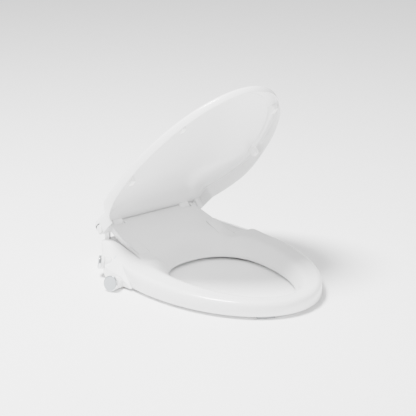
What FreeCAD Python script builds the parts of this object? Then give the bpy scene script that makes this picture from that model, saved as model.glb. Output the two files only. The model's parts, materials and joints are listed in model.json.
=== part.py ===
"""Non-electric bidet seat: hinged ring seat and lid on a base with two control knobs.

Frame: origin at the middle of the two bowl bolts, on the bowl's top face. +Z up,
the seat's nose points along -Y and the sitter's right hand is on the -X side.
"""
import FreeCAD, Part
import Sketcher
import math
import os
from FreeCAD import Placement, Rotation, Vector

# Driving sizes, in millimetres and degrees.
SIZES = {
    # hinge line shared by the seat and the lid
    "hinge_back": 28, "hinge_height": 72.5, "pin_radius": 4, "running_fit": 0.05,
    "barrel_radius": 8.5, "seat_tail_half": 113, "body_gap": 0.8,
    # ring seat
    "seat_half": 186, "widest_back": -166.5, "seat_nose": 294, "seat_tail": 190,
    "ring_foot": 7, "nose_top": 35, "shoulder_top": 42, "shoulder_back": -106,
    "shoulder_slope": 0.693, "seat_wall": 3, "tongue_half": 127, "tongue_skirt": 15,
    "band_side": 80, "band_front": 45.5, "opening_middle": -220, "opening_tail": 112,
    "pad_inner": 94, "pad_outer": 121, "pad_back": -47, "pad_front": -92, "pad_rise": 3,
    "cover_thick": 2.5, "cover_gap": 0.4,
    # lid, in its own frame: hinge at 0, closed position level
    "lid_half": 185.6, "lid_widest": -178.5, "lid_nose": 299, "lid_tail": 192,
    "lid_rim": -23.3, "lid_skirt": 17, "lid_wall": 3, "lid_open": 48.9, "ear_half": 137, "ear_inner": 120.5,
    "hinge_clear": 10.2, "ear_radius": 12, "lug_inner": 78, "lug_outer": 102, "lug_radius": 8,
    "lid_roof": 22,
    "bumper_width": 10, "bumper_length": 16,
    # soft-close cartridges
    "cartridge_radius": 6.5, "cartridge_start": 36, "cartridge_end": 70,
    # base
    "tray_foot": 3, "tray_thick": 3, "base_wall": 2.5, "cheek_inner": 114.5, "cheek_outer": 119,
    "cheek_radius": 8, "bolt_spacing": 140, "slot_half_width": 4.25, "slot_length": 24,
    "plate_half": 98, "plate_depth": 44,
    # nozzles
    "nozzle_side": 9, "nozzle_radius": 6, "nozzle_length": 82, "nozzle_slope": 28,
    "nozzle_tip_back": -72, "nozzle_tip_height": 10, "guide_start": 4, "guide_length": 16,
    "flange_radius": 7.6, "spring_wire": 0.6,
    # controls
    "wing_out": 9, "knob_depth": 13, "front_knob_radius": 16.2, "rear_knob_radius": 14.5,
    "spindle_radius": 3, "valve_radius": 5, "valve_length": 13,
    # water
    "inlet_side": 78, "cover_back": 46, "inlet_radius": 10.48, "inlet_bore": 6, "tube_radius": 3,
}

doc = FreeCAD.newDocument("bidet_seat")
sheet = doc.addObject("Spreadsheet::Sheet", "sizes")
for row, (alias, value) in enumerate(SIZES.items(), start=1):
    sheet.set(f"A{row}", alias)
    sheet.set(f"B{row}", str(value))
    sheet.setAlias(f"B{row}", alias)
doc.recompute()

subparts = {}
SIDES = (("right", -1), ("left", 1))
AXIS_X = Rotation(Vector(0, 1, 0), 90)


def size(alias):
    """A driving size, read back from the sheet."""
    return float(sheet.get(alias))


def keep(label, thing):
    """Registers a finished sub-part under the label that names its file."""
    thing.Label = label
    subparts[label] = thing
    return thing


def feature(label, shape, place=None):
    """A sub-part with a free-form shape, worked out from the sheet."""
    thing = doc.addObject("Part::Feature", label)
    thing.Shape = shape.Solids[0] if len(shape.Solids) == 1 else shape
    if place is not None:
        thing.Placement = place
    return keep(label, thing)


def primitive(kind, name, place=None, **expressions):
    """A Part primitive whose sizes are bound to the sheet."""
    thing = doc.addObject(kind, name)
    for prop, text in expressions.items():
        thing.setExpression(prop, text)
    if place is not None:
        thing.Placement = place
    return thing


def bar(name, radius, length, place=None):
    """A parametric round bar along its own +Z."""
    return primitive("Part::Cylinder", name, place, Radius=radius, Height=length)


def block(name, length, width, height, place=None):
    """A parametric rectangular block."""
    return primitive("Part::Box", name, place, Length=length, Width=width, Height=height)


def cut(name, base, tool):
    """A parametric cut of one object from another."""
    thing = doc.addObject("Part::Cut", name)
    thing.Base = base
    thing.Tool = tool
    return thing


def fuse(name, *things):
    """A parametric union of several objects."""
    thing = doc.addObject("Part::MultiFuse", name)
    thing.Shapes = list(things)
    return thing


def at(x, y, z, turn=None):
    """A placement from a point and an optional rotation."""
    return Placement(Vector(x, y, z), turn or Rotation())


def sleeve(label, radius, bore, length, place):
    """A parametric tube along +Z of its placement."""
    outer = bar(label + "_outer", radius, length, place)
    inner = bar(label + "_bore", bore, length, place)
    return keep(label, cut(label, outer, inner))


def body_profile(body, plane, points):
    """A closed straight-sided sketch in a body, each corner bound to the sheet.

    Each point is a pair of expressions. Both coordinates are counted from the origin.
    """
    sketch = body.newObject("Sketcher::SketchObject", body.Name + "_profile")
    origin = next(f for f in body.Origin.OriginFeatures if f.Role == plane)
    sketch.AttachmentSupport = [(origin, "")]
    sketch.MapMode = "FlatFace"
    spots = [Vector(evaluate(x), evaluate(y), 0) for x, y in points]
    for start, end in zip(spots, spots[1:] + spots[:1]):
        sketch.addGeometry(Part.LineSegment(start, end), False)
    for i in range(len(spots)):
        sketch.addConstraint(Sketcher.Constraint("Coincident", i, 2, (i + 1) % len(spots), 1))
    for i, (spot, pair) in enumerate(zip(spots, points)):
        for kind, value, text, axis in (("DistanceX", spot.x, pair[0], -2),
                                        ("DistanceY", spot.y, pair[1], -1)):
            if text == "0":
                sketch.addConstraint(Sketcher.Constraint("PointOnObject", i, 1, axis))
                continue
            number = sketch.addConstraint(Sketcher.Constraint(kind, -1, 1, i, 1, value))
            sketch.setExpression(f"Constraints[{number}]", text)
    return sketch


def evaluate(text):
    """The value of a sheet expression such as 'sizes.pin_radius + 1'."""
    return float(sheet.evalExpression(text))


def padded(label, plane, points, length, place=None):
    """A PartDesign body made by padding a straight-sided sketch."""
    body = doc.addObject("PartDesign::Body", label)
    sketch = body_profile(body, plane, points)
    pad = body.newObject("PartDesign::Pad", label + "_pad")
    pad.Profile = sketch
    pad.setExpression("Length", length)
    sketch.Visibility = False
    if place is not None:
        body.Placement = place
    return keep(label, body)


def turned(label, points, place):
    """A PartDesign body turned about its own Z from a radius-height profile."""
    body = doc.addObject("PartDesign::Body", label)
    sketch = body_profile(body, "XZ_Plane", points)
    turn = body.newObject("PartDesign::Revolution", label + "_turn")
    turn.Profile = sketch
    turn.ReferenceAxis = (sketch, ["V_Axis"])
    turn.Angle = 360
    body.Placement = place
    return keep(label, body)


# ---- free-form helpers -------------------------------------------------------------

def side_prism(points, half):
    """A prism along X, from -half to half, with the given Y-Z outline."""
    wire = Part.makePolygon([Vector(-half, y, z) for y, z in points + points[:1]])
    return Part.Face(wire).extrude(Vector(2 * half, 0, 0))


def plan_prism(points, low, high):
    """A prism along Z with the given X-Y outline."""
    wire = Part.makePolygon([Vector(x, y, low) for x, y in points + points[:1]])
    return Part.Face(wire).extrude(Vector(0, 0, high - low))


def front_prism(points, start, end):
    """A prism along Y with the given X-Z outline."""
    wire = Part.makePolygon([Vector(x, start, z) for x, z in points + points[:1]])
    return Part.Face(wire).extrude(Vector(0, end - start, 0))


def oval(half, nose, tail, middle, low, high):
    """An egg-shaped prism: one half-ellipse to the nose and one to the tail."""
    centre = Vector(0, middle, low)
    halves = []
    for reach, sign in ((nose, -1), (tail, 1)):
        across = centre + Vector(half, 0, 0)
        along = centre + Vector(0, reach, 0)
        ellipse = Part.Ellipse(along, across, centre) if reach > half else Part.Ellipse(
            across, along, centre)
        disc = Part.Face(Part.Wire(ellipse.toShape())).extrude(Vector(0, 0, high - low))
        corner = Vector(-2 * half, middle if sign > 0 else middle - 2 * nose, low)
        halves.append(disc.common(Part.makeBox(4 * half, 2 * nose, high - low, corner)))
    return halves[0].fuse(halves[1]).removeSplitter()


def rod(start, end, radius):
    """A round rod between two points."""
    along = end - start
    return Part.makeCylinder(radius, along.Length, start, along)


def x_rod(x0, x1, radius, y=0.0, z=0.0):
    """A round rod along X between two X values."""
    return rod(Vector(x0, y, z), Vector(x1, y, z), radius)


def box(x, y, z):
    """A box from three (low, high) pairs."""
    return Part.makeBox(x[1] - x[0], y[1] - y[0], z[1] - z[0], Vector(x[0], y[0], z[0]))


hinge_y = size("hinge_back")
hinge_z = size("hinge_height")
pin_r = size("pin_radius")
fit = size("running_fit")
gap = size("body_gap")

# ---- seat --------------------------------------------------------------------------

foot = size("ring_foot")
wall = size("seat_wall")
shoulder_y = size("shoulder_back")
shoulder_z = size("shoulder_top")
slope = size("shoulder_slope")
seat_half = size("seat_half")
middle_y = size("widest_back")
nose_y = middle_y - size("seat_nose")
tongue_half = size("tongue_half")
tail_half = size("seat_tail_half")
crest_z = hinge_z + size("barrel_radius")
ramp = (crest_z - shoulder_z) / (hinge_y - shoulder_y)
slant = math.hypot(1, slope)
opening_half = seat_half - size("band_side")
opening_nose = size("opening_middle") - nose_y - size("band_front")


def shoulder_line(z, offset=0.0):
    """Y of the slanted face under the ring's shoulder, moved forward by offset."""
    return shoulder_y - (shoulder_z - z) / slope - offset * slant / slope


def seat_form(inset, low):
    """The seat's outer form, or its hollow when inset by the wall."""
    ring = oval(seat_half - inset, size("seat_nose") - inset, size("seat_tail") - inset,
                middle_y, low, shoulder_z + 10)
    ring_side = side_prism([
        (nose_y - 1, low), (shoulder_line(low, inset), low),
        (shoulder_line(shoulder_z - inset, inset), shoulder_z - inset),
        (nose_y - 1, size("nose_top") - inset)], 2 * seat_half)
    past = hinge_y + (12 if inset else 0)
    narrow = (tongue_half - tail_half) / (hinge_y - shoulder_y)
    end_half = tongue_half - narrow * (past - shoulder_y)
    start = shoulder_line(low) - 6
    tongue = plan_prism([
        (-tongue_half + inset, start), (tongue_half - inset, start),
        (tongue_half - inset, shoulder_y), (end_half - inset, past),
        (-end_half + inset, past), (-tongue_half + inset, shoulder_y)], low, crest_z + 20)
    lip = size("opening_middle") + size("opening_tail") + wall
    skirt = 0 if inset else size("tongue_skirt")
    top_end = shoulder_z + ramp * (past - shoulder_y) - inset
    under = [(lip, low), (lip, shoulder_z - skirt), (past, top_end - skirt)] if skirt else [
        (past, low)]
    start_top = shoulder_z - 0.0196 * (shoulder_y - start) - inset
    tongue_side = side_prism(
        [(start, low)] + under + [(past, top_end), (shoulder_y, shoulder_z - inset),
                                  (start, start_top)], 2 * seat_half)
    return ring.common(ring_side).fuse(tongue.common(tongue_side))


def opening(grow, low, high):
    """The hole through the ring, grown by a wall."""
    return oval(opening_half + grow, opening_nose + grow,
                size("opening_tail") + grow, size("opening_middle"), low, high)


def ring_spots():
    """Places spread round the ring, midway between its outer edge and the opening."""
    spots = []
    for turn in (-62, -20, 28):
        for _, side in SIDES:
            angle = math.radians(turn)
            x = (seat_half + opening_half) / 2 * math.cos(angle)
            reach = (size("seat_nose") + opening_nose) / 2
            spots.append(Vector(side * x, (middle_y + size("opening_middle")) / 2
                                + reach * math.sin(angle) * (1 if turn < 0 else 0.12), 0))
    return spots


boss_spots = ring_spots()
boss_radius = 4
screw_radius = 1.5
cover_top = foot + size("cover_thick")
low_cut = foot - 1
shell = seat_form(0, foot).cut(opening(0, low_cut, crest_z + 30))
hollow = seat_form(wall, low_cut).cut(opening(wall, low_cut, crest_z + 30))
bosses = [Part.makeCylinder(boss_radius, shoulder_z, Vector(p.x, p.y, cover_top))
          for p in boss_spots]
shell = shell.cut(hollow.cut(Part.makeCompound(bosses)))
for _, side in SIDES:
    pad_x = sorted((side * size("pad_inner"), side * size("pad_outer")))
    rise = shoulder_z + ramp * (size("pad_back") - shoulder_y)
    flush = shoulder_z + ramp * (size("pad_front") - shoulder_y)
    pad = side_prism([(size("pad_front"), flush), (size("pad_front"), flush - 1),
                      (size("pad_back"), rise - 1),
                      (size("pad_back"), rise + size("pad_rise"))], 2 * seat_half)
    shell = shell.fuse(pad.common(box(pad_x, (-200, 100), (0, 100))))
shell = shell.fuse(x_rod(-tail_half, tail_half, size("barrel_radius"), hinge_y, hinge_z))
slot_in = size("lug_inner") - gap
slot_out = size("lug_outer") + gap + 0.7
bore = pin_r + fit
for _, side in SIDES:
    slot_x = sorted((side * slot_in, side * slot_out))
    slot_y = (hinge_y - size("lug_radius") - 5, hinge_y + 20)
    shell = shell.cut(box(slot_x, slot_y, (hinge_z - 20, hinge_z + 20)))
    shell = shell.cut(x_rod(side * size("cartridge_start"), side * (tail_half + 1), bore,
                            hinge_y, hinge_z))
    shell = shell.cut(x_rod(side * size("cartridge_start"), side * size("cartridge_end"),
                            size("cartridge_radius"), hinge_y, hinge_z))
screw_rods = [Part.makeCylinder(screw_radius, 10, Vector(p.x, p.y, cover_top - 1))
              for p in boss_spots]
shell = shell.cut(Part.makeCompound(screw_rods))
feature("seat_shell", shell)

cover_inset = wall + size("cover_gap")
cover = oval(seat_half - cover_inset, size("seat_nose") - cover_inset,
             size("seat_tail") - cover_inset, middle_y, foot, cover_top)
cover = cover.cut(opening(cover_inset, foot - 1, cover_top + 1))
cover_end = shoulder_line(foot, cover_inset) - 2
cover = cover.cut(box((-400, 400), (cover_end, 200), (0, 60)))
head_radius = 3
heads = [Part.makeCylinder(head_radius, 1.5, Vector(p.x, p.y, foot)) for p in boss_spots]
screws = [head.fuse(Part.makeCylinder(screw_radius, 9, Vector(p.x, p.y, foot)))
          for head, p in zip(heads, boss_spots)]
for screw in screws:
    cover = cover.cut(screw)
feature("seat_bottom_cover", cover)
feature("seat_cover_screws", Part.makeCompound(screws))

front_buffer_y = nose_y + 32.5
rear_buffer_x = seat_half - 43
BUFFER_SPOTS = {"front_right": (-62, front_buffer_y, 28), "front_left": (62, front_buffer_y, -28),
                "rear_right": (-rear_buffer_x, -215, 82), "rear_left": (rear_buffer_x, -215, -82)}
for where, (x, y, turn) in BUFFER_SPOTS.items():
    place = at(x, y, 0, Rotation(Vector(0, 0, 1), -turn))
    padded("seat_buffer_" + where, "XY_Plane",
           [("-18", "-6"), ("18", "-6"), ("18", "6"), ("-18", "6")], "sizes.ring_foot", place)

cartridge = "sizes.cartridge_end - sizes.cartridge_start"
for name, side in SIDES:
    start = size("cartridge_start") if side > 0 else -size("cartridge_end")
    sleeve("seat_damper_" + name, "sizes.cartridge_radius", "sizes.pin_radius + sizes.running_fit",
           cartridge, at(start, hinge_y, hinge_z, AXIS_X))

# ---- lid, modelled closed and level about its hinge, then swung open -----------------

lid_place = at(0, hinge_y, hinge_z, Rotation(Vector(1, 0, 0), -size("lid_open")))
rim = size("lid_rim")
roof = size("lid_roof")
nose_roof = rim + size("lid_skirt")
lid_nose = size("lid_widest") - size("lid_nose")


def lid_form(inset):
    """The lid's outer form, or its hollow when inset by the wall."""
    low = rim - (2 if inset else 0)
    plan = oval(size("lid_half") - inset, size("lid_nose") - inset, size("lid_tail") - inset,
                size("lid_widest"), low - 5, roof + 10)
    ears = plan_prism([(-size("ear_half") + inset, -90), (size("ear_half") - inset, -90),
                       (size("ear_half") - inset, 15 - inset),
                       (-size("ear_half") + inset, 15 - inset)], low - 5, roof + 10)
    top = [(-60, 13 - inset), (-180, -1 - inset), (lid_nose - 1, nose_roof - inset)]
    if inset:
        over = size("hinge_clear")
        side = [(lid_nose - 1, low), (20, low), (20, over), (-58, over)] + top
    else:
        side = [(lid_nose - 1, low), (-130, low), (-30, -15), (-10, -12), (8, -10), (15, 0),
                (15, 12), (8, roof), (-10, roof)] + top
    return plan.fuse(ears).common(side_prism(side, 2 * seat_half))


lid = lid_form(0).cut(lid_form(size("lid_wall")))
lid = lid.cut(box((-tail_half - 3, tail_half + 3), (-25, 30), (-30, 0)))
cheek_way = size("cheek_inner") - gap
for _, side in SIDES:
    ear_x = (side * size("ear_inner"), side * size("ear_half"))
    ear = x_rod(*ear_x, size("ear_radius"))
    ear = ear.fuse(box(sorted(ear_x), (-10, 12.6), (-2, roof - 1)))
    lug_x = (side * size("lug_inner"), side * size("lug_outer"))
    lug = x_rod(*lug_x, size("lug_radius"))
    lug = lug.fuse(box(sorted(lug_x), (-8, 8), (0, roof - 1)))
    lid = lid.cut(box(sorted((side * size("ear_inner"), side * cheek_way)),
                      (-20, 30), (-30, roof - size("lid_wall"))))
    lid = lid.cut(box(sorted((side * size("ear_inner"), side * cheek_way)),
                      (1, 30), (0, roof + 1)))
    lid = lid.fuse(ear).fuse(lug)
    lid = lid.cut(x_rod(side * (size("lug_inner") - 1), side * (size("ear_half") - 2), bore))
    lid = lid.cut(x_rod(side * size("lug_inner"), side * (size("lug_outer") - 2),
                        size("cartridge_radius")))
feature("lid_shell", lid.removeSplitter(), lid_place)

roof_fall = (nose_roof + 1) / (lid_nose - 1 + 180)
for label, x, y in (("front", 118, -383), ("side", 163, -216)):
    for name, side in SIDES:
        floor = -1 + roof_fall * (y - size("bumper_length") / 2 + 180) - size("lid_wall")
        reach = floor - rim
        corner = Vector(side * x - size("bumper_width") / 2, y - size("bumper_length") / 2, rim)
        place = lid_place.multiply(Placement(corner, Rotation()))
        bumper = block(f"lid_bumper_{label}_{name}", "sizes.bumper_width", "sizes.bumper_length",
                       f"{reach:.3f}", place)
        keep(f"lid_bumper_{label}_{name}", bumper)

for name, side in SIDES:
    start = size("lug_inner") if side > 0 else -size("lug_outer") + 2
    place = lid_place.multiply(at(start, 0, 0, AXIS_X))
    sleeve("lid_damper_" + name, "sizes.cartridge_radius", "sizes.pin_radius + sizes.running_fit",
           "sizes.lug_outer - sizes.lug_inner - 2", place)
    outer = size("ear_half") if side > 0 else -size("ear_half") - 1.5
    place = lid_place.multiply(at(outer, 0, 0, AXIS_X))
    keep("lid_ear_cap_" + name, bar("lid_ear_cap_" + name, "sizes.ear_radius - 3", "1.5", place))

# ---- hinge line on the base ----------------------------------------------------------

tray_top = size("tray_foot") + size("tray_thick")
for name, side in SIDES:
    inner = side * size("cheek_inner")
    outer = side * size("cheek_outer")
    radius = size("cheek_radius")
    cheek = x_rod(inner, outer, radius, hinge_y, hinge_z)
    cheek = cheek.fuse(box(sorted((inner, outer)), (hinge_y - radius, hinge_y + radius),
                           (tray_top, hinge_z)))
    foot_x = sorted((side * (size("cheek_inner") - 12), outer))
    cheek = cheek.fuse(box(foot_x, (hinge_y - radius, hinge_y + radius), (tray_top, tray_top + 3)))
    cheek = cheek.cut(x_rod(inner - side, outer + side, pin_r, hinge_y, hinge_z))
    feature("hinge_cheek_" + name, cheek.removeSplitter())
    start = size("cartridge_start") + 2 if side > 0 else -(size("ear_half") - 3)
    keep("hinge_pin_" + name, bar("hinge_pin_" + name, "sizes.pin_radius",
                                  "sizes.ear_half - 3 - sizes.cartridge_start - 2",
                                  at(start, hinge_y, hinge_z, AXIS_X)))

# ---- base ----------------------------------------------------------------------------

inner_x = size("cheek_outer") + 0.6
side_x = tongue_half + 1.6
front_y = shoulder_line(tray_top, -1.2)
wing_x = seat_half + size("wing_out")
WING_PLAN = [(inner_x, 38), (127, 38), (wing_x - 58, 20), (wing_x - 43, -6), (wing_x - 14, -46),
             (wing_x - 3, -70), (wing_x, -120), (wing_x - 5, front_y), (side_x, front_y),
             (side_x, shoulder_y), (inner_x, -20)]
WING_SIDE = [(38, tray_top), (38, 38), (30, 46), (20, 49), (4, 51), (-50, 47),
             (shoulder_line(shoulder_z, -1.2), shoulder_z), (front_y, tray_top)]
WING_FRONT = [(110, tray_top), (110, 60), (120, 56), (wing_x - 30, 46), (wing_x - 9, 38),
              (wing_x + 2, 26), (wing_x + 2, tray_top)]


def shrunk(points, amount):
    """A closed outline moved inwards."""
    wire = Part.makePolygon([Vector(x, y, 0) for x, y in points + points[:1]])
    face = Part.Face(wire)
    inner = face.makeOffset2D(-amount, join=2)
    return [(v.Point.x, v.Point.y) for v in inner.OuterWire.OrderedVertexes]


def wing_form(side, inset):
    """A side housing's outer form, or its hollow when inset by the wall."""
    plan, profile, front = WING_PLAN, WING_SIDE, WING_FRONT
    low = tray_top
    if inset:
        low = tray_top - 1
        plan = shrunk(plan, inset)
        profile = shrunk([(y, z if z > tray_top else z - 2 * inset) for y, z in profile], inset)
        front = shrunk([(x, z if z > tray_top else z - 2 * inset) for x, z in front], inset)
    form = plan_prism([(side * x, y) for x, y in plan], low, 60)
    form = form.common(side_prism(profile, 300))
    return form.common(front_prism([(side * x, z) for x, z in front], -200, 100))


def knob_frame(x, y, z, axis):
    """The frame of a knob: origin at its face centre, +Z outwards."""
    return Placement(Vector(x, y, z), Rotation(Vector(0, 0, 1), Vector(*axis)))


depth = size("knob_depth")
# each knob: its frame, the length of its collar, the collar's radius and its body's radius
KNOBS = {"front": (knob_frame(-wing_x - 27, -128, 17.5, (-0.905, -0.33, 0.27)), 17, 14,
                   size("front_knob_radius")),
         "rear": (knob_frame(4 - wing_x, -42, 32, (-0.8, 0.55, 0.15)), 12, 12.5,
                  size("rear_knob_radius"))}
spindle_bore = size("spindle_radius") + fit
boss_gap = 0.5
valve_r = size("valve_radius")


def framed(frame, radius, start, length):
    """A round rod along +Z of a knob's frame."""
    shape = Part.makeCylinder(radius, length, Vector(0, 0, start))
    shape.Placement = frame
    return shape


def valve_port(name, along, lift):
    """A point on or above a valve's side: along its axis, and lifted off its middle."""
    frame, reach = KNOBS[name][:2]
    middle = depth + boss_gap + reach + size("valve_length") / 2
    centre = frame.multVec(Vector(0, 0, along - middle))
    axis = frame.Rotation.multVec(Vector(0, 0, 1))
    up = (Vector(0, 0, 1) - axis * axis.z).normalize()
    return tuple(centre + up * lift)


inlet_frame = at(-size("inlet_side"), size("cover_back"), 20,
                 Rotation(Vector(0, 0, 1), Vector(0, 1, 0)))
stub_radius = 7.5
stub_length = 5
TUBES = {
    "supply_tube": [tuple(inlet_frame.multVec(Vector(0, 0, -stub_length))),
                    (-size("inlet_side"), 26, 20), (-96, 6, 20), (67.5 - wing_x, -6, 20),
                    (57 - wing_x, -34, 14), (45 - wing_x, -78, 12), (32 - wing_x, -104, 15),
                    (20 - wing_x, -113, 24),
                    valve_port("front", -4, valve_r)],
    "link_tube": [valve_port("front", 4, valve_r), valve_port("front", 4, valve_r + 9),
                  (11 - wing_x, -94, 24), (20 - wing_x, -74, 15), (29.5 - wing_x, -60, 10),
                  valve_port("rear", 0, -valve_r)],
    "rear_wash_tube": [valve_port("rear", -size("valve_length") / 2, 0), (45.5 - wing_x, -70.5, 24),
                       (-134, -52, 20), (-116, -30, 18), (-62, -26, 16),
                       (-2 * size("nozzle_side") - 6, -26, 16)],
    "front_wash_tube": [valve_port("rear", 0, valve_r), (33.2 - wing_x, -62, 39), (-146, -50, 39),
                        (-124, -33, 35), (-104, -24, 32), (-62, -20, 30),
                        (-2 * size("nozzle_side") - 6, -20, 30)],
}


def inner_tube(points, radius):
    """A water tube along straight runs joined by tangent arcs."""
    spots = [Vector(*p) for p in points]
    edges, start = [], spots[0]
    for before, here, after in zip(spots, spots[1:], spots[2:]):
        into = (here - before).normalize()
        out = (after - here).normalize()
        turn = into.getAngle(out)
        run = 0.45 * min((here - before).Length, (after - here).Length)
        first, last = here - into * run, here + out * run
        bend = run / math.tan(turn / 2)
        middle = here + (out - into).normalize() * (bend / math.cos(turn / 2) - bend)
        edges += [Part.LineSegment(start, first).toShape(), Part.Arc(first, middle, last).toShape()]
        start = last
    edges.append(Part.LineSegment(start, spots[-1]).toShape())
    circle = Part.Circle(spots[0], spots[1] - spots[0], radius)
    return Part.Wire(edges).makePipeShell([Part.Wire(circle.toShape())], True, True)


tube_ways = [inner_tube(points, size("tube_radius") + 0.4) for points in TUBES.values()]
valve_rods = [framed(frame, valve_r, -depth - boss_gap - reach - size("valve_length"),
                     size("valve_length")) for frame, reach, _, _ in KNOBS.values()]
for label, points in TUBES.items():
    feature(label, inner_tube(points, size("tube_radius")).cut(Part.makeCompound(valve_rods)))

pod = wing_form(-1, 0).cut(wing_form(-1, size("base_wall")))
for frame, reach, radius, knob_radius in KNOBS.values():
    collar = framed(frame, radius, -depth - boss_gap - reach, reach)
    collar = collar.common(box((-260, -120), (-200, 60), (1, 60)))
    pod = pod.cut(framed(frame, knob_radius + 0.8, -depth - boss_gap, 60)).fuse(collar)
    pod = pod.cut(framed(frame, spindle_bore, -80, 80))
    pod = pod.cut(framed(frame, valve_r + 0.3, -depth - boss_gap - reach - 24, 24))
for way in tube_ways:
    pod = pod.cut(way)
feature("control_pod", max(pod.Solids, key=lambda solid: solid.Volume))
feature("side_wing", wing_form(1, 0).cut(wing_form(1, size("base_wall"))))

tray_front = -58
tray_points = [("-sizes.cheek_outer", "46"), ("-sizes.cheek_outer - 6", "34"),
               ("-145", "-6"), ("-162", "-40"), ("-162", "-96"), ("-132", "-96"),
               ("-112", f"{tray_front}"), ("-27", f"{tray_front}"), ("-27", "-24"),
               ("27", "-24"), ("27", f"{tray_front}"), ("112", f"{tray_front}"),
               ("132", "-96"), ("162", "-96"), ("162", "-40"), ("145", "-6"),
               ("sizes.cheek_outer + 6", "34"), ("sizes.cheek_outer", "46")]
tray = plan_prism([(evaluate(x), evaluate(y)) for x, y in tray_points],
                  size("tray_foot"), tray_top)
half_bolts = size("bolt_spacing") / 2
for _, side in SIDES:
    tray = tray.cut(box((side * half_bolts - 20, side * half_bolts + 20), (-13, 13), (0, 9)))
feature("base_tray", tray)

plate_body = padded("mounting_plate", "XY_Plane", [
    ("-sizes.plate_half", "-sizes.plate_depth / 2"), ("sizes.plate_half", "-sizes.plate_depth / 2"),
    ("sizes.plate_half", "sizes.plate_depth / 2"), ("-sizes.plate_half", "sizes.plate_depth / 2")],
    "sizes.tray_foot")
doc.recompute()


def pocket_slots(body):
    """Cuts the two bolt slots through the mounting plate, round ends included."""
    sketch = body.newObject("Sketcher::SketchObject", "bolt_slots")
    origin = next(f for f in body.Origin.OriginFeatures if f.Role == "XY_Plane")
    sketch.AttachmentSupport = [(origin, "")]
    sketch.MapMode = "FlatFace"
    radius = size("slot_half_width")
    run = size("slot_length") / 2 - radius
    for _, side in SIDES:
        x = side * half_bolts
        for y in (-radius, radius):
            sketch.addGeometry(Part.LineSegment(Vector(x - run, y, 0), Vector(x + run, y, 0)), False)
        for end in (-1, 1):
            centre = Vector(x + end * run, 0, 0)
            start = -math.pi / 2 if end > 0 else math.pi / 2
            circle = Part.Circle(centre, Vector(0, 0, 1), radius)
            sketch.addGeometry(Part.ArcOfCircle(circle, start, start + math.pi), False)
    pocket = body.newObject("PartDesign::Pocket", "bolt_slot_cut")
    pocket.Profile = sketch
    pocket.setExpression("Length", "sizes.tray_foot + 1")
    pocket.Midplane = True
    pocket.setExpression("Length", "3 * sizes.tray_foot")
    sketch.Visibility = False


pocket_slots(plate_body)

FOOT_SPOTS = {"front_right": (-148, -76), "front_left": (148, -76),
              "rear_right": (-112, 30), "rear_left": (112, 30)}
for where, (x, y) in FOOT_SPOTS.items():
    keep("base_foot_" + where, bar("base_foot_" + where, "8", "sizes.tray_foot", at(x, y, 0)))

# central cover, under the seat's tail
base_wall = size("base_wall")
cover_half = size("cheek_inner") - 1.5
cover_back = size("cover_back")
COVER_SIDE = [(-40, tray_top), (-40, 38), (-20, 46), (32, 47), (cover_back, 38),
              (cover_back, tray_top)]
inner_side = shrunk([(y, z if z > tray_top else z - 2 * base_wall) for y, z in COVER_SIDE],
                    base_wall)
base_cover = side_prism(COVER_SIDE, cover_half).cut(side_prism(inner_side, cover_half - base_wall))
shield_half = 2 * size("nozzle_side") + 6
base_cover = base_cover.cut(box((-shield_half - 0.4, shield_half + 0.4), (-60, 14), (0, 60)))
for _, side in SIDES:
    foot_x = sorted((side * (size("cheek_inner") - 13), side * 140))
    base_cover = base_cover.cut(box(foot_x, (hinge_y - 9, hinge_y + 9), (0, tray_top + 4)))
for way in tube_ways:
    base_cover = base_cover.cut(way)
base_cover = base_cover.cut(framed(inlet_frame, stub_radius, -10, 11))
feature("base_cover", base_cover)

# ---- nozzles -------------------------------------------------------------------------

pitch = math.radians(size("nozzle_slope"))
forward = Vector(0, -math.cos(pitch), -math.sin(pitch))
nozzle_r = size("nozzle_radius")


def nozzle_frame(x):
    """Origin at the nozzle's tip, +Z along the way it comes out."""
    tip = Vector(x, size("nozzle_tip_back"), size("nozzle_tip_height"))
    return Placement(tip, Rotation(Vector(0, 0, 1), forward))


def in_nozzle_frame(shape):
    """A shape drawn about the middle nozzle frame, moved to its place."""
    shape.Placement = nozzle_frame(0)
    return shape


guide_back = size("guide_start") + size("guide_length")
side_step = size("nozzle_side")
guide = Part.makeBox(2 * shield_half - 4, 18, size("guide_length"),
                     Vector(2 - shield_half, -9, -guide_back))
for _, side in SIDES:
    guide = guide.cut(Part.makeCylinder(nozzle_r + fit, 60, Vector(side * side_step, 0, -50)))
guide = in_nozzle_frame(guide)
feature("nozzle_guide", guide.common(box((-40, 40), (-120, 20), (1, 80))))

rise = math.tan(pitch)
shield_low = size("nozzle_tip_height") + 12
SHIELD_SIDE = [(-76, tray_top), (-76, shield_low), (-66, shield_low + 4),
               (2, shield_low + 4 + 68 * rise), (10, shield_low + 2 + 68 * rise),
               (10, tray_top)]
hollow_side = shrunk([(y - (0 if y > -70 else 6), z if z > tray_top else z - 8)
                      for y, z in SHIELD_SIDE], 2)
shield = side_prism(SHIELD_SIDE, shield_half).cut(side_prism(hollow_side, shield_half - 2))
shield = shield.cut(box((-shield_half + 2, shield_half - 2), (-90, -60), (0, 40)))
feature("nozzle_shield", shield)

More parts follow.
